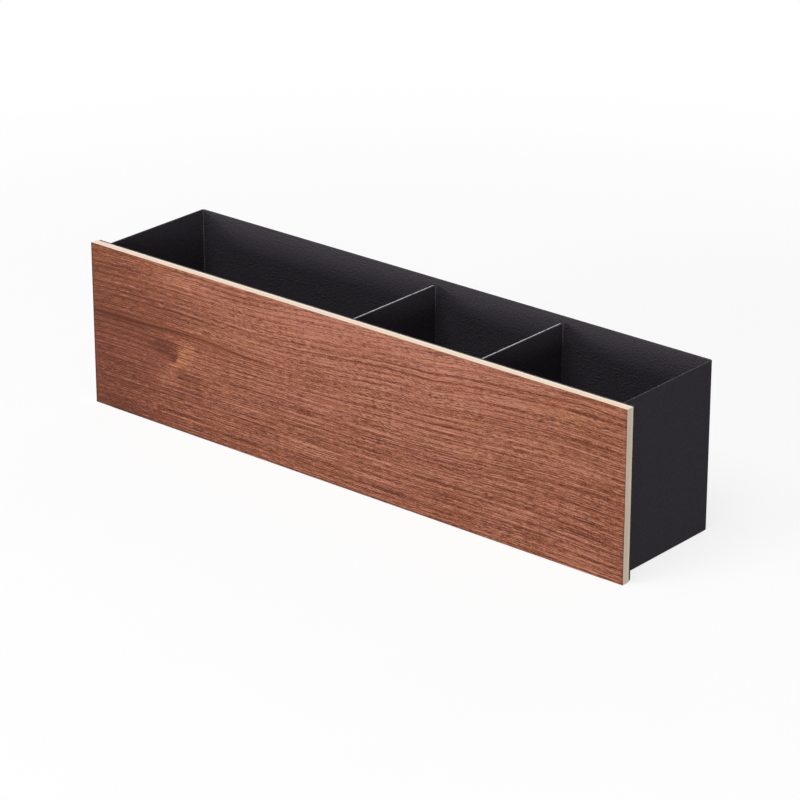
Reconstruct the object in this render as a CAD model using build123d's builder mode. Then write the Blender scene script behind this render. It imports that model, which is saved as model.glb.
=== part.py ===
"""Pen tray: a folded steel trough with fixed dividers behind a walnut-veneered plywood front.

Millimetres, +Z up. X runs along the tray, the wooden front faces -Y.
The origin is the centre of the footprint, on the surface that the tray stands on.
"""

import os

from build123d import *

# Wooden front panel
panel_width = 272.0
panel_height = 70.0
veneer_thickness = 0.3
front_ply_thickness = 0.8
core_ply_thickness = 1.5
back_ply_thickness = 1.2
edge_easing = 0.15

# Double-sided tape between the panel and the steel
tape_thickness = 0.2
tape_width = 12.0
tape_edge_margin = 9.0
tape_end_margin = 11.0

# Steel sheet and its bends
sheet = 0.8
bend_radius = 0.5
plate_corner_radius = 1.0

# Steel trough
plate_overhang = 5.4
trough_depth = 55.9
rim_drop = 0.6
side_flange_width = 12.0
floor_flange_height = 10.0
flange_gap = 1.0
bend_relief = 0.4

# Dividers
long_bay = 126.3
middle_bay = 63.0
divider_drop = 2.1
divider_gap = 1.0
divider_foot_width = 14.0
divider_corner_radius = 1.5
foot_corner_radius = 3.0

# Spot-weld marks on the flanges and feet
weld_mark_diameter = 4.0
weld_mark_depth = 0.15
side_weld_pitch = 24.0
floor_weld_pitch = 70.0
foot_weld_pitch = 32.0

# Places that follow from the sizes above
outer_bend_radius = bend_radius + sheet
panel_thickness = veneer_thickness + front_ply_thickness + core_ply_thickness + back_ply_thickness
overall_depth = panel_thickness + tape_thickness + sheet + trough_depth
rear_y = overall_depth / 2
plate_back_y = rear_y - trough_depth
plate_front_y = plate_back_y - sheet
panel_back_y = plate_front_y - tape_thickness
wall_x = panel_width / 2 - plate_overhang
inner_wall_x = wall_x - sheet
inner_rear_y = rear_y - sheet
flange_face_y = plate_back_y + sheet
side_flange_end_x = wall_x - side_flange_width
floor_flange_end_x = side_flange_end_x - flange_gap
rim_height = panel_height - rim_drop
divider_height = rim_height - divider_drop
divider_front_y = plate_back_y + outer_bend_radius + divider_gap
divider_rear_y = inner_rear_y - divider_gap
left_divider_x = -inner_wall_x + long_bay
right_divider_x = left_divider_x + sheet + middle_bay
foot_middle_y = (divider_front_y + divider_rear_y) / 2

os.makedirs("parts", exist_ok=True)


def upright_plane(y):
    """A plane across the tray at the depth y, facing the front, with X to the right and Z up."""
    return Plane.XZ.offset(-y)


# Wall band: one strip folded into the left wall, the back wall and the right wall,
# with a flange turned inwards at each front end for the front plate
with BuildPart() as wall_band:
    with BuildSketch():
        with BuildLine():
            FilletPolyline(
                (-side_flange_end_x, plate_back_y),
                (-wall_x, plate_back_y),
                (-wall_x, rear_y),
                (wall_x, rear_y),
                (wall_x, plate_back_y),
                (side_flange_end_x, plate_back_y),
                radius=outer_bend_radius,
            )
            offset(amount=sheet, side=Side.RIGHT)
        make_face()
    extrude(amount=rim_height)
    side_flange_middle_x = wall_x - outer_bend_radius - (side_flange_width - outer_bend_radius) / 2
    with BuildSketch(upright_plane(flange_face_y)):
        with Locations((0, rim_height / 2)):
            with GridLocations(2 * side_flange_middle_x, side_weld_pitch, 2, 3):
                Circle(weld_mark_diameter / 2)
    extrude(amount=weld_mark_depth, mode=Mode.SUBTRACT)
wall_band.part.label = "wall_band"
export_step(wall_band.part, "parts/wall_band.step")

# Floor plate: lies inside the wall band, with its front edge turned up against the front plate
with BuildPart() as floor_plate:
    with BuildSketch(Plane.YZ):
        with BuildLine():
            FilletPolyline(
                (inner_rear_y, 0),
                (plate_back_y, 0),
                (plate_back_y, floor_flange_height),
                radius=outer_bend_radius,
            )
            offset(amount=sheet, side=Side.RIGHT)
        make_face()
    extrude(amount=inner_wall_x, both=True)
    notch_width = inner_wall_x - floor_flange_end_x
    notch_depth = outer_bend_radius + bend_relief
    with BuildSketch():
        with GridLocations(2 * inner_wall_x - notch_width, 0, 2, 1):
            with Locations((0, plate_back_y + notch_depth / 2)):
                Rectangle(notch_width, notch_depth)
    extrude(amount=floor_flange_height, mode=Mode.SUBTRACT)
    fillet(floor_plate.edges().filter_by(Axis.Z).group_by(Axis.Y)[-1], radius=outer_bend_radius)
    with BuildSketch(upright_plane(flange_face_y)):
        with Locations((0, (outer_bend_radius + floor_flange_height) / 2)):
            with GridLocations(floor_weld_pitch, 0, 4, 1):
                Circle(weld_mark_diameter / 2)
    extrude(amount=weld_mark_depth, mode=Mode.SUBTRACT)
floor_plate.part.label = "floor_plate"
export_step(floor_plate.part, "parts/floor_plate.step")

# Dividers: each is an upright with a foot turned to the right, which lies on the floor plate
for divider_name, divider_x in (("left_divider", left_divider_x), ("right_divider", right_divider_x)):
    with BuildPart() as divider:
        with BuildSketch(upright_plane(divider_rear_y)):
            with BuildLine():
                FilletPolyline(
                    (divider_x, divider_height),
                    (divider_x, sheet),
                    (divider_x + divider_foot_width, sheet),
                    radius=outer_bend_radius,
                )
                offset(amount=sheet, side=Side.LEFT)
            make_face()
        extrude(amount=divider_rear_y - divider_front_y)
        fillet(divider.edges().filter_by(Axis.X).group_by(Axis.Z)[-1], radius=divider_corner_radius)
        fillet(divider.edges().filter_by(Axis.Z).group_by(Axis.X)[-1], radius=foot_corner_radius)
        foot_middle_x = divider_x + (outer_bend_radius + divider_foot_width) / 2
        with BuildSketch(Plane.XY.offset(2 * sheet)):
            with Locations((foot_middle_x, foot_middle_y)):
                with GridLocations(0, foot_weld_pitch, 1, 2):
                    Circle(weld_mark_diameter / 2)
        extrude(amount=-weld_mark_depth, mode=Mode.SUBTRACT)
    divider.part.label = divider_name
    export_step(divider.part, f"parts/{divider_name}.step")

# Front plate: flat sheet with the outline of the wooden panel and small round corners
with BuildPart() as front_plate:
    with BuildSketch(upright_plane(plate_back_y)):
        with Locations((0, panel_height / 2)):
            RectangleRounded(panel_width, panel_height, plate_corner_radius)
    extrude(amount=sheet)
front_plate.part.label = "front_plate"
export_step(front_plate.part, "parts/front_plate.step")

# Mounting tapes: one strip along the top and one along the bottom of the panel's back
with BuildPart() as mounting_tapes:
    tape_pitch = panel_height - 2 * tape_edge_margin - tape_width
    with BuildSketch(upright_plane(plate_front_y)):
        with Locations((0, panel_height / 2)):
            with GridLocations(0, tape_pitch, 1, 2):
                Rectangle(panel_width - 2 * tape_end_margin, tape_width)
    extrude(amount=tape_thickness)
mounting_tapes.part.label = "mounting_tapes"
export_step(mounting_tapes.part, "parts/mounting_tapes.step")

# Plywood: the plies are stacked from the back of the panel towards its face
ply_back_y = panel_back_y
for ply_name, ply_thickness in (
    ("back_ply", back_ply_thickness),
    ("core_ply", core_ply_thickness),
    ("front_ply", front_ply_thickness),
):
    with BuildPart() as ply:
        with BuildSketch(upright_plane(ply_back_y)):
            with Locations((0, panel_height / 2)):
                Rectangle(panel_width, panel_height)
        extrude(amount=ply_thickness)
    ply.part.label = ply_name
    export_step(ply.part, f"parts/{ply_name}.step")
    ply_back_y -= ply_thickness

# Walnut veneer: the show face, with its front edges eased
with BuildPart() as walnut_veneer:
    with BuildSketch(upright_plane(ply_back_y)):
        with Locations((0, panel_height / 2)):
            Rectangle(panel_width, panel_height)
    extrude(amount=veneer_thickness)
    chamfer(walnut_veneer.faces().sort_by(Axis.Y)[0].edges(), length=edge_easing)
walnut_veneer.part.label = "walnut_veneer"
export_step(walnut_veneer.part, "parts/walnut_veneer.step")
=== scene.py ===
import math

import bmesh
import bpy
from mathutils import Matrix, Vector
from mathutils.geometry import delaunay_2d_cdt


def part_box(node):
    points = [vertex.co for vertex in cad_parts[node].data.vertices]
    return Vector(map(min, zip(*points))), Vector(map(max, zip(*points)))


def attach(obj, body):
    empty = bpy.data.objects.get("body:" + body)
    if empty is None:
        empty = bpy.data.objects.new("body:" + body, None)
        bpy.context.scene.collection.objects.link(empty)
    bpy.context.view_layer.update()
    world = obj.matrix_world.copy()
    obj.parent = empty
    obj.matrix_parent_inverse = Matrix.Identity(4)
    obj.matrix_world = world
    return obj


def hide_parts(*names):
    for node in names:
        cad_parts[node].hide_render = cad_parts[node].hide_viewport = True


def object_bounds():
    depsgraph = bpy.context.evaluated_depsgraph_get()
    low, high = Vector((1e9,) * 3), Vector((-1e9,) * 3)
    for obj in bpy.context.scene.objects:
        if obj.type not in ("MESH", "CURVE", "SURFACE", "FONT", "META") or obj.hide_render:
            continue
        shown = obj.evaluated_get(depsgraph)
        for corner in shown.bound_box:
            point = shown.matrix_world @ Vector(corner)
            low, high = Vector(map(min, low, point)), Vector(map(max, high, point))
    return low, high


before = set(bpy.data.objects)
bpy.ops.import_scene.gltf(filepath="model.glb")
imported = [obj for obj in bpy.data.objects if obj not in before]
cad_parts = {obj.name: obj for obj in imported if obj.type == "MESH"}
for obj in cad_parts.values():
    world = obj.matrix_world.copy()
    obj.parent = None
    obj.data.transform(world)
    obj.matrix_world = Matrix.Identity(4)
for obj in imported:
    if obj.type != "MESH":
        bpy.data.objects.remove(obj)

cad_low, cad_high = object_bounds()

# Floor plate: the tray's bottom, cut from 0.8 mm steel sheet with notched front corners and folded once,
# so that its front edge stands up behind the front plate, where spot welds hold it.
# Like the rest of the trough it is powder coated in a fine-textured black.
floor_low, floor_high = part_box("floor_plate")
plate_low, plate_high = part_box("front_plate")
sheet = plate_high.y - plate_low.y
inner_bend_radius = 0.0005
outer_bend_radius = inner_bend_radius + sheet
middle_bend_radius = inner_bend_radius + sheet / 2
turn_length = middle_bend_radius * math.pi / 2
turn_steps = 10
coat_edge_radius = 0.00022
coat_edge_steps = 4
# Painted highlight: the share of light grey in the middle of each bend, and the run from the blank's start
# over which an edge's painted highlight widens to its whole rounding.
bend_highlight = 0.12
highlight_crown = 0.0015
weld_mark_radius = 0.002
weld_mark_depth = 0.00015
weld_mark_profile = ((1.0, 0.0), (0.93, 0.25), (0.84, 0.75), (0.74, 1.0), (0.4, 0.97))
weld_mark_sides = 28
floor_flange_half_width = 0.1176
floor_weld_pitch = 0.070
floor_weld_count = 4
notch_past_bend = 0.0004
sharp_angle = math.radians(40)
hair = 1e-7


class Reading:
    """A value on a shader socket. Arithmetic on it adds Math nodes to the same finish."""

    def __init__(self, socket):
        self.socket = socket

    def worked(self, operation, *values):
        node = self.socket.id_data.nodes.new("ShaderNodeMath")
        node.operation = operation
        for socket, value in zip(node.inputs, values):
            fill(socket, value)
        return Reading(node.outputs[0])

    def __add__(self, other):
        return self.worked("ADD", self, other)

    def __radd__(self, other):
        return self.worked("ADD", other, self)

    def __sub__(self, other):
        return self.worked("SUBTRACT", self, other)

    def __rsub__(self, other):
        return self.worked("SUBTRACT", other, self)

    def __mul__(self, other):
        return self.worked("MULTIPLY", self, other)

    def __rmul__(self, other):
        return self.worked("MULTIPLY", other, self)

    def __truediv__(self, other):
        return self.worked("DIVIDE", self, other)

    def __rtruediv__(self, other):
        return self.worked("DIVIDE", other, self)

    def __pow__(self, other):
        return self.worked("POWER", self, other)

    def __rpow__(self, other):
        return self.worked("POWER", other, self)

    def __neg__(self):
        return self.worked("MULTIPLY", self, -1.0)


def fill(socket, value):
    """Links a reading to a socket, or sets the socket to a plain value or an opaque colour."""
    if isinstance(value, Reading):
        socket.id_data.links.new(value.socket, socket)
    elif socket.type == "RGBA":
        socket.default_value = (*value, 1.0)
    else:
        socket.default_value = value


class Finish:
    """The node tree of a material or of the studio's surroundings, filled one node at a time."""

    def __init__(self, owner):
        self.owner = owner
        owner.use_nodes = True
        self.nodes = owner.node_tree.nodes
        self.nodes.clear()

    def node(self, kind, settings=None, sockets=None, out=0):
        made = self.nodes.new("ShaderNode" + kind)
        for name, value in (settings or {}).items():
            if name == "stops":
                stops = made.color_ramp.elements
                while len(stops) < len(value):
                    stops.new(1.0)
                for stop, (position, colour) in zip(stops, value):
                    stop.position = position
                    stop.color = (*colour, 1.0)
            else:
                setattr(made, name, value)
        for key, value in (sockets or {}).items():
            fill(self.pick(made.inputs, key), value)
        return Reading(self.pick(made.outputs, out)) if made.outputs else made

    def pick(self, sockets, key):
        if isinstance(key, int):
            return sockets[key]
        return next(socket for socket in sockets if socket.name == key and socket.enabled)

    def ramp(self, value, start, end):
        """0 below start, 1 above end, and a smooth rise between them."""
        settings = {"interpolation_type": "SMOOTHSTEP"}
        return self.node("MapRange", settings, {"Value": value, "From Min": start, "From Max": end})

    def blend(self, factor, below, above, mode="MIX"):
        """A colour that goes from below to above with the factor."""
        settings = {"data_type": "RGBA", "blend_type": mode}
        sockets = {"Factor": factor, "A": below, "B": above}
        return self.node("Mix", settings, sockets, "Result")


def rounded(corners, steps=8):
    """Outline points of a shape with square corners, given as (along, across, radius)."""
    points = []
    for before, here, after in zip(corners[-1:] + corners[:-1], corners, corners[1:] + corners[:1]):
        corner = Vector(here[:2])
        radius = here[2]
        back = (Vector(before[:2]) - corner).normalized() * radius
        onward = (Vector(after[:2]) - corner).normalized() * radius
        for step in range(steps + 1 if radius else 1):
            angle = math.pi / 2 * step / steps
            points.append(corner + back * (1 - math.sin(angle)) + onward * (1 - math.cos(angle)))
    return points


def creased(points, creases):
    """The outline with a point wherever a crease crosses it."""
    cut = []
    for here, after in zip(points, points[1:] + points[:1]):
        cut.append(here)
        crossed = [c for c in creases if min(here.x, after.x) + hair < c < max(here.x, after.x) - hair]
        for crease in sorted(crossed, reverse=after.x < here.x):
            cut.append(here.lerp(after, (crease - here.x) / (after.x - here.x)))
    return cut


def drawn_in(points, amount):
    """The outline moved inwards by an amount; it runs counter-clockwise."""
    moved = []
    for before, here, after in zip(points[-1:] + points[:-1], points, points[1:] + points[:1]):
        arriving = (here - before).normalized().orthogonal()
        leaving = (after - here).normalized().orthogonal()
        moved.append(here + (arriving + leaving) * (amount / (1 + arriving.dot(leaving))))
    return moved


def folded(along, lift, start, heading, runs):
    """Where a point of the flat blank lies once each run but the last is followed by a quarter turn left."""
    point = Vector(start)
    for k, run in enumerate(runs):
        step = along if k == len(runs) - 1 else min(along, run)
        point = point + step * Vector((math.cos(heading), math.sin(heading)))
        along -= step
        if along <= 0:
            break
        arc = min(along, turn_length)
        centre = point + middle_bend_radius * Vector((-math.sin(heading), math.cos(heading)))
        heading += arc / middle_bend_radius
        point = centre - middle_bend_radius * Vector((-math.sin(heading), math.cos(heading)))
        along -= arc
    return point + lift * Vector((-math.sin(heading), math.cos(heading)))


def piece(name, points, faces, finish, slot, *nodes):
    """A finished piece of the tray: its mesh, its material and the node that it stands for."""
    mesh = bpy.data.meshes.new(name)
    mesh.from_pydata(points, [], faces)
    shell = bmesh.new()
    shell.from_mesh(mesh)
    bmesh.ops.recalc_face_normals(shell, faces=shell.faces)
    shell.to_mesh(mesh)
    shell.free()
    mesh.shade_smooth()
    mesh.set_sharp_from_angle(angle=sharp_angle)
    mesh.materials.append(finish.owner)
    made = bpy.data.objects.new(name, mesh)
    bpy.context.scene.collection.objects.link(made)
    evened = made.modifiers.new("flat faces stay flat", "WEIGHTED_NORMAL")
    evened.weight = 100
    evened.keep_sharp = True
    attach(made, "root")
    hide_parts(*nodes)
    return made


def folded_sheet(
    name, node, blank, marks, start, heading, runs, stand, edge_radius=coat_edge_radius, highlight_run=0.0
):
    """A steel piece: a flat blank with softened edges, dished at its weld marks and folded up.

    blank is the outline as (along, across, corner radius), and stand turns a point of the fold's
    plane and a place across the blank into a point of the tray. edge_radius is how far the coat
    rounds the edges, and the last argument how far from the blank's start a highlight is painted
    on them in light grey. The middle of each bend gets a fainter painted highlight.
    """
    bends = [sum(runs[: k + 1]) + k * turn_length for k in range(len(runs) - 1)]
    creases = [bend + turn_length * k / turn_steps for bend in bends for k in range(turn_steps + 1)]
    outline = creased(rounded(blank), creases)
    count = len(outline)
    flat = drawn_in(outline, edge_radius)
    depths = [0.0] * count
    lines = [(k, (k + 1) % count) for k in range(count)]
    for crease in creases:
        lines.append(tuple(k for k in range(count) if abs(flat[k].x - crease) < hair))
    for along, across in marks:
        for share, depth in weld_mark_profile:
            first = len(flat)
            for k in range(weld_mark_sides):
                angle = 2 * math.pi * k / weld_mark_sides
                ring = Vector((math.cos(angle), math.sin(angle))) * weld_mark_radius * share
                flat.append(Vector((along, across)) + ring)
                depths.append(weld_mark_depth * depth)
                lines.append((first + k, first + (k + 1) % weld_mark_sides))
    spots, _, triangles, sources, _, _ = delaunay_2d_cdt(flat, lines, [], 1, hair)
    found = {source: k for k, group in enumerate(sources) for source in group}

    def raised(place, lift):
        u, v = folded(place.x, lift, start, heading, runs)
        return stand(u, v, place.y)

    points = [raised(p, sheet / 2 - depths[group[0]]) for p, group in zip(spots, sources)]
    points += [raised(p, -sheet / 2) for p in spots]
    faces = [tuple(t) for t in triangles]
    faces += [tuple(k + len(spots) for k in reversed(t)) for t in triangles]
    # Painted highlight in the middle of each bend, on the face inside the fold.
    thin = [max([1 - abs(2 * (p.x - bend) / turn_length - 1) for bend in bends] + [0]) for p in spots]
    painted_highlight = [bend_highlight * share for share in thin] + [0.0] * len(spots)
    loops = [[found[k] for k in range(count)]]
    angles = [math.pi / 2 * k / coat_edge_steps for k in range(1, coat_edge_steps + 1)]
    for side, turned in ((1, angles), (-1, angles[::-1])):
        for angle in turned:
            rim = drawn_in(outline, edge_radius * (1 - math.sin(angle)))
            lift = side * (sheet / 2 - edge_radius * (1 - math.cos(angle)))
            loops.append(list(range(len(points), len(points) + count)))
            points += [raised(p, lift) for p in rim]
            # Painted highlight on the rounded edges, fading out with the distance from the blank's start,
            # which is the dividers' upper edge.
            for p in rim:
                breadth = max(math.sin(angle) ** 4, min(1.0, p.x / highlight_crown))
                painted_highlight.append(breadth * max(0.0, 1 - p.x / highlight_run) if highlight_run else 0.0)
    del points[-count:], painted_highlight[-count:]
    loops[-1] = [found[k] + len(spots) for k in range(count)]
    for upper, lower in zip(loops, loops[1:]):
        for k in range(count):
            onward = (k + 1) % count
            faces.append((upper[k], upper[onward], lower[onward], lower[k]))
    made = piece(name, points, faces, powder_coat, "powder_coated_steel", node)
    edge = made.data.attributes.new("coat_edge", "FLOAT", "POINT")
    edge.data.foreach_set("value", painted_highlight)
    return made


# Black powder coat: a fine-textured black whose lighter specks are partly its texture and partly painted
# glints.
coat_shade = (0.0430, 0.0379, 0.0459)
coat_speck_and_glint = (0.0548, 0.0486, 0.0580)
coat_highlight_grey = (0.570, 0.562, 0.578)
grain_size = 0.0005
grit_size = 0.0008
peel_size = 0.0022
coat_relief = 0.0006
powder_coat = Finish(bpy.data.materials.new("black_powder_coat"))
spot = powder_coat.node("TexCoord", out="Object")
grain = powder_coat.node("TexNoise", {}, {"Vector": spot, "Scale": 1 / grain_size, "Detail": 2.0})
peel = powder_coat.node("TexNoise", {}, {"Vector": spot, "Scale": 1 / peel_size, "Detail": 1.0})
grit = powder_coat.node("TexNoise", {}, {"Vector": spot, "Scale": 1 / grit_size, "Detail": 1.0})
speck_and_glint = powder_coat.ramp(grain, 0.36, 0.68)
# The edge attribute paints the highlight: a light grey broken up by the peel noise, with a gloss coat on the
# same places.
edge_highlight = powder_coat.node("Attribute", {"attribute_name": "coat_edge"}, out="Fac")
coat_colour = powder_coat.blend(speck_and_glint, coat_shade, coat_speck_and_glint)
coat_colour = powder_coat.blend(edge_highlight * powder_coat.ramp(peel, 0.10, 0.50), coat_colour, coat_highlight_grey)
bumps = grit * 0.88 + peel * 0.12
relief = powder_coat.node("Bump", {}, {"Strength": 1.0, "Distance": coat_relief, "Height": bumps}, "Normal")
surface = powder_coat.node(
    "BsdfPrincipled",
    {},
    {
        "Base Color": coat_colour,
        "Roughness": 0.52 + 0.14 * speck_and_glint,
        "Specular IOR Level": 0.01,
        "Coat Weight": edge_highlight,
        "Coat Roughness": 0.25,
        "Normal": relief,
    },
)
powder_coat.node("OutputMaterial", {}, {"Surface": surface})

flange_run = floor_high.z - outer_bend_radius
floor_run = floor_high.y - floor_low.y - outer_bend_radius
notch_end = flange_run + turn_length + notch_past_bend
floor_end = flange_run + turn_length + floor_run
folded_sheet(
    "floor_pan",
    "floor_plate",
    [
        (0, -floor_flange_half_width, 0),
        (notch_end, -floor_flange_half_width, 0),
        (notch_end, floor_low.x, 0),
        (floor_end, floor_low.x, outer_bend_radius),
        (floor_end, floor_high.x, outer_bend_radius),
        (notch_end, floor_high.x, 0),
        (notch_end, floor_flange_half_width, 0),
        (0, floor_flange_half_width, 0),
    ],
    [(flange_run / 2, floor_weld_pitch * (k - (floor_weld_count - 1) / 2)) for k in range(floor_weld_count)],
    (floor_low.y + sheet / 2, floor_high.z),
    -math.pi / 2,
    [flange_run, floor_run],
    lambda y, z, x: (x, y, z),
)

# Wall band: the two end walls and the back wall in one strip of the same sheet, folded at the rear corners
# and once more at each front end, where a narrow flange turns inwards for the front plate.
# Three spot welds hold each flange, and the floor plate lies inside its lower edge.
band_low, band_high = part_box("wall_band")
side_flange_width = 0.012
side_weld_pitch = 0.024
side_weld_count = 3
side_flange_run = side_flange_width - outer_bend_radius
end_wall_run = band_high.y - band_low.y - 2 * outer_bend_radius
back_wall_run = band_high.x - band_low.x - 2 * outer_bend_radius
band_runs = [side_flange_run, end_wall_run, back_wall_run, end_wall_run, side_flange_run]
band_end = sum(band_runs) + (len(band_runs) - 1) * turn_length
side_weld_heights = [
    band_high.z / 2 + side_weld_pitch * (k - (side_weld_count - 1) / 2) for k in range(side_weld_count)
]
side_weld_places = (side_flange_run / 2, band_end - side_flange_run / 2)
folded_sheet(
    "folded_walls",
    "wall_band",
    [(0, band_low.z, 0), (band_end, band_low.z, 0), (band_end, band_high.z, 0), (0, band_high.z, 0)],
    [(along, z) for along in side_weld_places for z in side_weld_heights],
    (band_high.x - side_flange_width, band_low.y + sheet / 2),
    0.0,
    band_runs,
    lambda x, y, z: (x, y, z),
)

# Front plate: a flat piece of the same sheet, with the outline of the wooden panel and small round corners.
# It closes the front of the trough, is welded to the flanges behind it and carries the panel.
plate_corner_radius = 0.001
plate_run = plate_high.x - plate_low.x
folded_sheet(
    "panel_backing",
    "front_plate",
    [
        (0, plate_low.z, plate_corner_radius),
        (plate_run, plate_low.z, plate_corner_radius),
        (plate_run, plate_high.z, plate_corner_radius),
        (0, plate_high.z, plate_corner_radius),
    ],
    [],
    (plate_low.x, plate_low.y + sheet / 2),
    0.0,
    [plate_run],
    lambda x, y, z: (x, y, z),
)

# Dividers: two uprights of the same sheet, each folded to a foot that lies on the floor plate and is held
# there by two spot welds. Their corners are rounded, and they stop just short of the back wall.
divider_corner_radius = 0.0015
foot_corner_radius = 0.003
foot_weld_pitch = 0.032
divider_edge_radius = 0.00034
# The dividers' upper edges get a painted highlight, this far down from the top.
divider_highlight_run = 0.032
for partition, divider in (("left_partition", "left_divider"), ("right_partition", "right_divider")):
    divider_low, divider_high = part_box(divider)
    upright_run = divider_high.z - divider_low.z - outer_bend_radius
    foot_run = divider_high.x - divider_low.x - outer_bend_radius
    divider_end = upright_run + turn_length + foot_run
    divider_middle = (divider_low.y + divider_high.y) / 2
    folded_sheet(
        partition,
        divider,
        [
            (0, divider_low.y, divider_corner_radius),
            (divider_end, divider_low.y, foot_corner_radius),
            (divider_end, divider_high.y, foot_corner_radius),
            (0, divider_high.y, divider_corner_radius),
        ],
        [(divider_end - foot_run / 2, divider_middle + side * foot_weld_pitch / 2) for side in (-1, 1)],
        (divider_low.x + sheet / 2, divider_high.z),
        -math.pi / 2,
        [upright_run, foot_run],
        lambda x, z, y: (x, y, z),
        divider_edge_radius,
        divider_highlight_run,
    )

# Mounting tapes: two strips of thin double-sided foam tape, one along the top and one along the bottom,
# cut by hand so that their edges waver a little. They hold the wooden panel on the front plate.
tape_low, tape_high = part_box("mounting_tapes")
tape_width = 0.012
tape_waver = 0.00025
tape_stations = 90
foam_pale = (0.80, 0.80, 0.77)
foam_dark = (0.62, 0.62, 0.59)
foam_cells_per_metre = 2600.0
foam_relief = 0.00008
tape_foam = Finish(bpy.data.materials.new("tape_foam"))
spot = tape_foam.node("TexCoord", out="Object")
cells = tape_foam.node("TexVoronoi", {}, {"Vector": spot, "Scale": foam_cells_per_metre}, "Distance")
foam_colour = tape_foam.blend(tape_foam.ramp(cells, 0.15, 0.75), foam_pale, foam_dark)
relief = tape_foam.node("Bump", {}, {"Strength": 0.4, "Distance": foam_relief, "Height": cells}, "Normal")
surface = tape_foam.node(
    "BsdfPrincipled", {}, {"Base Color": foam_colour, "Roughness": 0.7 + 0.2 * cells, "Normal": relief}
)
tape_foam.node("OutputMaterial", {}, {"Surface": surface})


def cut_waver(share, swings, start):
    """How far the cut strayed into the tape at that share of its length."""
    return tape_waver * (0.5 + 0.5 * math.sin(swings * share + start))


for tape, low_edge in (
    ("lower_mounting_tape", tape_low.z),
    ("upper_mounting_tape", tape_high.z - tape_width),
):
    points = []
    for k in range(tape_stations + 1):
        share = k / tape_stations
        x = tape_low.x + share * (tape_high.x - tape_low.x)
        lower = low_edge + cut_waver(share, 19, 40 * low_edge)
        upper = low_edge + tape_width - cut_waver(share, 23, 90 * low_edge)
        points += [(x, tape_low.y, lower), (x, tape_high.y, lower)]
        points += [(x, tape_high.y, upper), (x, tape_low.y, upper)]
    faces = [(0, 1, 2, 3), tuple(4 * tape_stations + k for k in (3, 2, 1, 0))]
    for k in range(tape_stations):
        for side in range(4):
            onward = (side + 1) % 4
            faces.append((4 * k + side, 4 * k + 4 + side, 4 * k + 4 + onward, 4 * k + onward))
    piece(tape, points, faces, tape_foam, "tape", "mounting_tapes")

# Plywood: three birch plies glued with crossed grain, sawn to size and sanded, so that their edges are bare.
# The face plies run along the tray and the greyer core runs upright. Their glue lines waver slightly.
glue_waver = 0.00003
board_pitch = 0.004
ply_relief = 0.00005


def glue_line(y):
    """A face between two plies: nearly flat, with the slow waver of peeled veneer."""
    def height(x, z):
        return y + glue_waver * (math.sin(71 * x + 9000 * y) + math.sin(163 * x + 97 * z + 5000 * y)) / 2
    return height


def cuts(low, high, easing, steps=4):
    """Grid lines from low to high, close together where the edge is eased."""
    eased = [easing * (1 - math.cos(math.pi / 2 * k / steps)) for k in range(steps)] if easing else []
    count = round((high - low - 2 * easing) / board_pitch)
    inner = [low + easing + (high - low - 2 * easing) * k / count for k in range(count + 1)]
    return [low + e for e in eased] + inner + [high - e for e in reversed(eased)]


def board(name, node, low, high, front, back, easing, finish, slot):
    """A layer of the panel between two faces, with its front edges eased."""
    xs = cuts(low.x, high.x, easing)
    zs = cuts(low.z, high.z, easing)

    def worn(x, z):
        gap = max(0.0, easing - min(x - low.x, high.x - x))
        rise = max(0.0, easing - min(z - low.z, high.z - z))
        reach = min(easing, math.hypot(gap, rise))
        return easing - math.sqrt(easing * easing - reach * reach)

    points = [(x, front(x, z) + worn(x, z), z) for x in xs for z in zs]
    points += [(x, back(x, z), z) for x in xs for z in zs]
    rows = len(zs)
    behind = len(xs) * rows
    faces = []
    for i in range(len(xs) - 1):
        for j in range(rows - 1):
            cell = (i * rows + j, (i + 1) * rows + j, (i + 1) * rows + j + 1, i * rows + j + 1)
            faces.append(cell)
            faces.append(tuple(behind + k for k in reversed(cell)))
    for i in range(len(xs) - 1):
        for j in (0, rows - 1):
            here, onward = i * rows + j, (i + 1) * rows + j
            faces.append((here, onward, behind + onward, behind + here))
    for j in range(rows - 1):
        for i in (0, len(xs) - 1):
            here, onward = i * rows + j, i * rows + j + 1
            faces.append((here, onward, behind + onward, behind + here))
    return piece(name, points, faces, finish, slot, node)


def ply_finish(name, pale, dark, stretch):
    """Bare birch: fine fibres along the grain, which show as pores where the ply is cut across."""
    ply = Finish(bpy.data.materials.new(name))
    spot = ply.node("TexCoord", out="Object")
    fibre_spot = ply.node("Mapping", {}, {"Vector": spot, "Scale": stretch})
    fibre = ply.node("TexNoise", {}, {"Vector": fibre_spot, "Scale": 1.0, "Detail": 3.0})
    blotch = ply.node("TexNoise", {}, {"Vector": spot, "Scale": 90.0, "Detail": 2.0})
    tone = ply.ramp(fibre * 0.7 + blotch * 0.3, 0.36, 0.66)
    pore = ply.ramp(fibre, 0.66, 0.74)
    colour = ply.blend(tone, pale, dark)
    colour = ply.blend(pore * 0.35, colour, (dark[0] * 0.6, dark[1] * 0.55, dark[2] * 0.5))
    relief = ply.node("Bump", {}, {"Strength": 0.3, "Distance": ply_relief, "Height": fibre}, "Normal")
    surface = ply.node(
        "BsdfPrincipled",
        {},
        {"Base Color": colour, "Roughness": 0.62 + 0.2 * tone, "Specular IOR Level": 0.3, "Normal": relief},
    )
    ply.node("OutputMaterial", {}, {"Surface": surface})
    return ply


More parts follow.
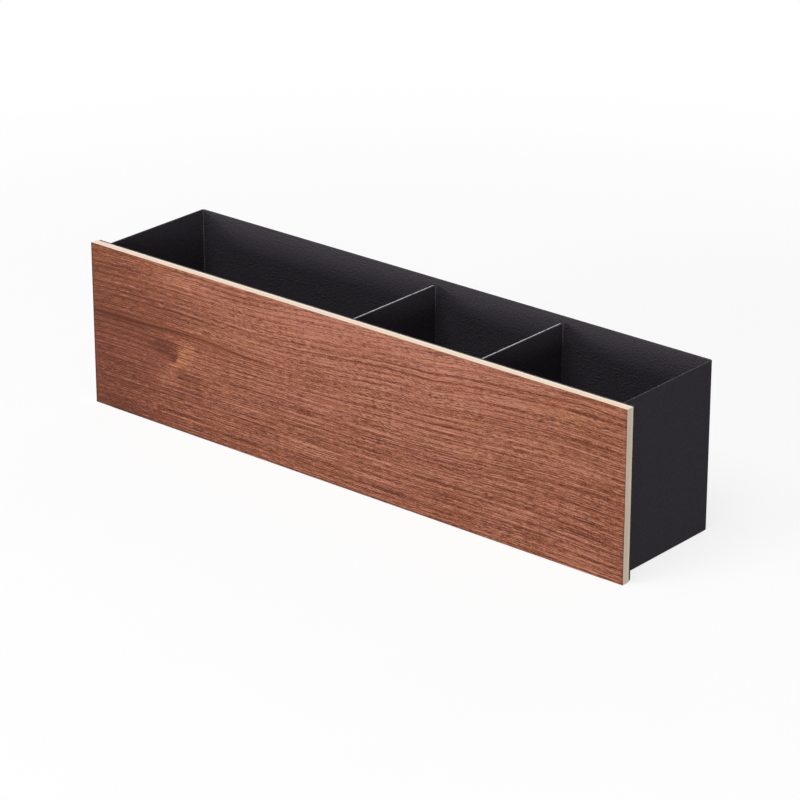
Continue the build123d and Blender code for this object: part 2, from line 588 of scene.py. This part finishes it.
along_tray = (45.0, 3800.0, 3800.0)
upright = (3800.0, 3800.0, 45.0)
front_ply = ply_finish("front_birch_ply", (0.95, 0.78, 0.65), (0.88, 0.69, 0.56), along_tray)
core_ply = ply_finish("core_birch_ply", (0.89, 0.775, 0.605), (0.82, 0.695, 0.525), upright)
back_ply = ply_finish("back_birch_ply", (0.97, 0.82, 0.68), (0.92, 0.75, 0.60), along_tray)
for name, layer, finish, slot in (
    ("birch_front", "front_ply", front_ply, "pale_ply"),
    ("birch_core", "core_ply", core_ply, "core_ply"),
    ("birch_back", "back_ply", back_ply, "pale_ply"),
):
    ply_low, ply_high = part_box(layer)
    back = (lambda x, z, y=ply_high.y: y) if layer == "back_ply" else glue_line(ply_high.y)
    board(name, layer, ply_low, ply_high, glue_line(ply_low.y), back, 0.0, finish, slot)

# Walnut veneer: the tray's show face, 0.3 mm thick, pressed onto the plywood with its grain along the tray.
# It has open pores under a matt lacquer, and its sharp front edges are eased with sandpaper.
# A small knot with a gold side darkens it on the left, under a long dark streak.
veneer_low, veneer_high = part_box("walnut_veneer")
veneer_easing = 0.00015
walnut_relief = 0.00008
ring_spacing = 2.25
growth_line_width = 0.42
streak_width = 0.55
streak_shade_width = 1.5
walnut_tones = (
    (0.0, (0.066, 0.013, 0.005)),
    (0.25, (0.125, 0.030, 0.012)),
    (0.36, (0.176, 0.048, 0.022)),
    (0.45, (0.231, 0.073, 0.037)),
    (0.55, (0.290, 0.104, 0.059)),
    (0.65, (0.352, 0.138, 0.084)),
    (0.75, (0.402, 0.166, 0.105)),
    (0.9, (0.444, 0.190, 0.123)),
)
tone_span = 2.4
mauve_tint = (1.0, 0.965, 1.13)
orange_tint = (1.0, 1.035, 0.875)
gold_tint = (1.08, 1.13, 0.90)
dark_streak_tint = (1.03, 0.95, 0.52)
pore_colour = (0.050, 0.013, 0.009)
walnut = Finish(bpy.data.materials.new("lacquered_walnut"))
spot = walnut.node("TexCoord", out="Object")
along = walnut.node("SeparateXYZ", {}, {"Vector": spot}, "X") * 1000
up = walnut.node("SeparateXYZ", {}, {"Vector": spot}, "Z") * 1000


def patch(x, z, length, height):
    """A soft oval on the face: 1 at its middle, fading to 0."""
    reach = ((along - x) / length) ** 2 + ((up - z) / height) ** 2
    return math.e ** -reach


def fibres(across, length, width, layer, detail=2.0):
    """Streaks of that length and width, in millimetres, from 0 to 1."""
    place = walnut.node("CombineXYZ", {}, {"X": along / length, "Y": across / width, "Z": layer})
    return walnut.node("TexNoise", {}, {"Vector": place, "Scale": 1.0, "Detail": detail})


climb = 0.19 * up * walnut.ramp(along, -70.0, 120.0)
climb = climb + 1.5 * (1 - math.e ** -((along + 136) / 18)) * (0.35 + 0.65 * walnut.ramp(up, 20.0, 40.0))
dip = 0.9 * patch(45.0, 55.0, 9.0, 9.0)
slow_waver = 2.0 * (fibres(up, 70.0, 25.0, 1.0, 0.0) - 0.5)
quick_waver = 0.9 * (fibres(up, 6.0, 2.6, 2.0, 1.0) - 0.5)
lively = walnut.ramp(fibres(up, 40.0, 13.0, 9.0) + 0.38 * patch(5.0, 52.0, 68.0, 17.0), 0.54, 0.76)
eye = patch(118.7, 63.0, 8.0, 3.2)
across = up - climb + dip + slow_waver + quick_waver * (0.1 + 0.8 * lively) - 0.5 * (up - 63) * eye

bands = fibres(across, 260.0, 7.0, 3.0, 1.0) - 0.5
streaks = fibres(across, 34.0, 0.32, 4.0, 0.0) - 0.5
dashes = fibres(across, 5.0, 0.30, 13.0, 0.0) - 0.5
straight_flecks = fibres(across, 2.4, 0.29, 5.0, 0.0) - 0.5
slanted_flecks = fibres(across + 0.26 * along, 2.4, 0.33, 10.0, 0.0) - 0.5
flecks = 1.1 * straight_flecks + lively * (1.95 * slanted_flecks - 1.1 * straight_flecks)
specks = fibres(across, 0.8, 0.37, 12.0, 0.0) - 0.5
ring = walnut.node("Math", {"operation": "COSINE"}, {0: across * (2 * math.pi / ring_spacing)})
ring_line = (0.5 + 0.5 * ring) ** 3 * walnut.ramp(fibres(across, 60.0, 5.0, 6.0), 0.20, 0.55)
figure = 1.70 * streaks + 1.2 * dashes + 0.9 * flecks + 0.85 * specks

streak_line = 41.0 + 2.1 * math.e ** -(((along + 80) / 27) ** 2)
streak_reach = 1 - walnut.ramp(along, -75.0, -25.0)
streak_strength = 1.35 - 0.35 * walnut.ramp(along, -112.0, -86.0)
streak_heart = math.e ** -(((up + 0.4 * quick_waver - streak_line) / streak_width) ** 2)
dark_streak = streak_heart * streak_reach * streak_strength
streak_shade = math.e ** -(((up + 0.6 * quick_waver - streak_line) / streak_shade_width) ** 2) * streak_reach
figure = figure * (1 - 0.55 * streak_shade) * (1 - 0.40 * patch(-114.0, 33.0, 24.0, 9.0))
tone = 0.45 * bands + (1.27 - 0.26 * walnut.ramp(up, 15.0, 62.0)) * figure + 0.142 - 0.40 * ring_line

growth_reach = 0.35 + 0.65 * walnut.ramp(along, -70.0, 10.0)
for growth_height, growth_depth in (
    (54.5, 0.20),
    (51.6, 0.36),
    (49.2, 0.46),
    (44.7, 0.26),
    (39.6, 0.36),
    (34.0, 0.18),
    (31.7, 0.18),
    (24.1, 0.26),
    (21.6, 0.24),
    (13.2, 0.24),
    (3.9, 0.24),
):
    growth_line = math.e ** -(((across - growth_height) / growth_line_width) ** 2)
    tone = tone - growth_depth * growth_reach * growth_line

knot_side = walnut.ramp(along - 0.3 * (up - 29) + quick_waver, -90.6, -89.0)
knot_shadow = (patch(-96.0, 34.4, 8.0, 3.4) + 1.3 * patch(-91.0, 30.7, 2.6, 1.5)) * (1 - knot_side)
knot_gold = (1.1 * patch(-83.0, 36.8, 4.0, 3.0) + 1.3 * patch(-86.2, 31.4, 4.2, 2.5)) * knot_side
knot_gold = knot_gold + 1.5 * patch(-90.4, 28.0, 2.6, 1.0)
under_knot = walnut.ramp(along + quick_waver, -89.2, -87.8)
knot_pale = patch(-92.5, 22.5, 5.5, 4.0) * (1 - under_knot)
knot_dusk = patch(-84.0, 22.5, 6.0, 4.5) * under_knot
smudges = 0.5 * eye
for x, z, length, height in (
    (-21.0, 27.0, 5.0, 1.0),
    (4.0, 26.3, 5.0, 0.8),
    (-14.0, 15.0, 8.0, 1.1),
    (-22.6, 6.0, 6.0, 1.4),
    (-6.0, 7.2, 6.0, 1.3),
    (25.5, 5.3, 7.0, 1.2),
):
    smudges = smudges + patch(x, z, length, height)

# Darker towards both ends: partly the veneer's own tone, partly a painted falloff of the light.
left_dark = 1 - walnut.ramp(along, -150.0, -45.0)
left_fall = 1 - walnut.ramp(along, -75.0, 10.0)
right_dark = walnut.ramp(along, 60.0, 150.0)
# The left end's last millimetre is painted shade, where its eased edge turns away from the light.
left_end_shade = 1 - walnut.ramp(along, -135.8, -134.9)
tone = tone - 0.50 * left_dark - 0.11 * left_fall - 0.14 * right_dark - 0.7 * left_end_shade
for x, z, length, height, depth in (
    (-128.0, 36.0, 38.0, 12.0, 0.12),
    (-98.0, 49.0, 22.0, 5.0, 0.14),
    (-125.0, 62.0, 22.0, 9.0, 0.10),
):
    tone = tone - depth * patch(x, z, length, height)
# Lighter towards the top, most in the middle: partly the veneer's own tone, partly a painted falloff of the
# light.
tone = tone + (0.0058 - 0.0028 * walnut.ramp(along, 20.0, 110.0)) * (up - 38)
tone = tone + 0.04 * walnut.ramp(up, 52.0, 70.0) * math.e ** -((along / 85) ** 2)
tone = tone - 0.62 * dark_streak - 0.08 * streak_shade - 0.22 * smudges
tone = tone - 0.58 * knot_shadow + 0.28 * knot_gold + 0.30 * knot_pale - 0.22 * knot_dusk

colour = walnut.node("ValToRGB", {"stops": walnut_tones}, {"Fac": 0.5 + tone / tone_span}, "Color")
warmth = 2.0 * fibres(across, 45.0, 5.0, 11.0) - 1.0
for x, z, length, height, share in (
    (-112.0, 63.0, 30.0, 7.0, 0.5),
    (122.0, 50.0, 28.0, 14.0, 0.5),
    (-125.0, 24.0, 26.0, 12.0, -0.8),
    (20.0, 25.0, 60.0, 4.5, -0.4),
    (40.0, 68.0, 45.0, 3.0, -0.3),
):
    warmth = warmth + share * patch(x, z, length, height)
tint = walnut.blend(0.5 + 0.5 * warmth, mauve_tint, orange_tint)
colour = walnut.blend(1.0, colour, tint, "MULTIPLY")
colour = walnut.blend(knot_gold * 0.9, colour, gold_tint, "MULTIPLY")
colour = walnut.blend(dark_streak * 0.85, colour, dark_streak_tint, "MULTIPLY")
pore_spots = fibres(across, 2.8, 0.34, 7.0, 1.0)
pore_bed = fibres(across, 30.0, 3.0, 8.0)
pores = walnut.ramp(pore_spots + 0.45 * (pore_bed - 0.5) + 0.05 * smudges, 0.60, 0.70)
colour = walnut.blend(pores * 0.7, colour, pore_colour)
grooves = 0.2 * flecks + 0.2 * streaks - pores
relief = walnut.node("Bump", {}, {"Strength": 0.35, "Distance": walnut_relief, "Height": grooves}, "Normal")
surface = walnut.node(
    "BsdfPrincipled",
    {},
    {
        "Base Color": colour,
        "Roughness": 0.54 + 0.09 * flecks + 0.25 * pores,
        "Specular IOR Level": 0.2,
        "Normal": relief,
    },
)
walnut.node("OutputMaterial", {}, {"Surface": surface})
board(
    "walnut_face",
    "walnut_veneer",
    veneer_low,
    veneer_high,
    lambda x, z: veneer_low.y,
    glue_line(veneer_high.y),
    veneer_easing,
    walnut,
    "walnut",
)

# Studio: a white paper floor that runs out of sight, white surroundings and four soft lamps round the tray.
# The paper keeps the tray's shadow and is dark under it. Seen directly or in a reflection, the rest of it
# and the surroundings are plain white, but they throw little light on the tray.
floor_reach = 6.0
floor_drop = 0.0001
white = (1.0, 1.0, 1.0)
paper_pale = (0.95, 0.95, 0.95)
paper_fibre = (0.92, 0.92, 0.92)
paper_dim = (0.15, 0.15, 0.15)
surroundings_light = 0.17


def looked_at(finish):
    """1 for what the camera sees, also in or through a piece, and 0 for the light thrown on the tray."""
    seen = finish.node("LightPath", out="Is Camera Ray")
    glossy = finish.node("LightPath", out="Is Glossy Ray")
    through = finish.node("LightPath", out="Is Transmission Ray")
    direct = finish.node("Math", {"operation": "MAXIMUM"}, {0: seen, 1: glossy})
    return finish.node("Math", {"operation": "MAXIMUM"}, {0: direct, 1: through})


paper = Finish(bpy.data.materials.new("white_paper"))
direct = looked_at(paper)
fibre = paper.node("TexNoise", {}, {"Scale": 400.0, "Detail": 2.0})
paper_colour = paper.blend(fibre, paper_fibre, paper_pale)
paper_colour = paper.blend(direct, paper_dim, paper_colour)
spot = paper.node("TexCoord", out="Object")
from_tray = paper.node("VectorMath", {"operation": "LENGTH"}, {0: spot}, "Value")
plain = 0.80 + 0.20 * paper.ramp(from_tray, 0.22, 0.55)
sideways = paper.node("SeparateXYZ", {}, {"Vector": spot}, "X") / band_high.x
backwards = paper.node("SeparateXYZ", {}, {"Vector": spot}, "Y") / cad_high.y
beside_tray = paper.ramp(sideways ** 60 + backwards ** 60, 0.85, 1.0)
matt = paper.node("BsdfDiffuse", {}, {"Color": paper_colour})
glow = paper.node("Emission", {}, {"Color": white, "Strength": 1.0})
shown = paper.node("MixShader", {}, {"Fac": direct * plain * beside_tray, 1: matt, 2: glow})
paper.node("OutputMaterial", {}, {"Surface": shown})
ground = bpy.data.meshes.new("paper_floor")
ground.from_pydata(
    [
        (-floor_reach, -floor_reach, -floor_drop),
        (floor_reach, -floor_reach, -floor_drop),
        (floor_reach, floor_reach, -floor_drop),
        (-floor_reach, floor_reach, -floor_drop),
    ],
    [],
    [(0, 1, 2, 3)],
)
ground.materials.append(paper.owner)
paper_floor = bpy.data.objects.new("paper_floor", ground)
bpy.context.scene.collection.objects.link(paper_floor)

room = bpy.data.worlds.new("white_studio")
bpy.context.scene.world = room
walls = Finish(room)
dim = walls.node("Background", {}, {"Color": white, "Strength": surroundings_light})
bright = walls.node("Background", {}, {"Color": white, "Strength": 1.0})
shown = walls.node("MixShader", {}, {"Fac": looked_at(walls), 1: dim, 2: bright})
walls.node("OutputWorld", {}, {"Surface": shown})

tray_middle = Vector((0.0, 0.0, cad_high.z / 2))
for lamp_name, place, width, height, power in (
    ("front_softbox", Vector((-0.553, -1.369, 0.250)), 0.75, 0.34, 16.8),
    ("right_softbox", Vector((1.380, -0.640, 0.180)), 0.8, 0.25, 7.4),
    ("top_softbox", Vector((0.000, -0.700, 1.600)), 1.2, 1.2, 21.5),
    ("rear_softbox", Vector((-0.450, 1.420, 0.180)), 0.9, 0.25, 10.0),
):
    light = bpy.data.lights.new(lamp_name, "AREA")
    light.shape = "RECTANGLE"
    light.size = width
    light.size_y = height
    light.energy = power
    lamp = bpy.data.objects.new(lamp_name, light)
    lamp.location = place
    lamp.rotation_euler = (tray_middle - place).to_track_quat("-Z", "Y").to_euler()
    bpy.context.scene.collection.objects.link(lamp)

# Camera: a long lens at the photograph's angle, to the right of the tray and above it.
# It stands 1.36 m away, looks just past the tray's middle and isn't shifted.
view_azimuth = math.radians(40.348)
view_elevation = math.radians(22.585)
view_distance = 1.3591
view_aim = Vector((0.0132, -0.0120, 0.0350))
lens = bpy.data.cameras.new("long_lens")
lens.lens = 157.5
lens.sensor_width = 36.0
camera = bpy.data.objects.new("camera", lens)
camera.location = view_aim + view_distance * Vector(
    (
        math.sin(view_azimuth) * math.cos(view_elevation),
        -math.cos(view_azimuth) * math.cos(view_elevation),
        math.sin(view_elevation),
    )
)
camera.rotation_euler = (math.pi / 2 - view_elevation, 0.0, view_azimuth)
bpy.context.scene.collection.objects.link(camera)
bpy.context.scene.camera = camera
bpy.context.scene.view_settings.view_transform = "Standard"
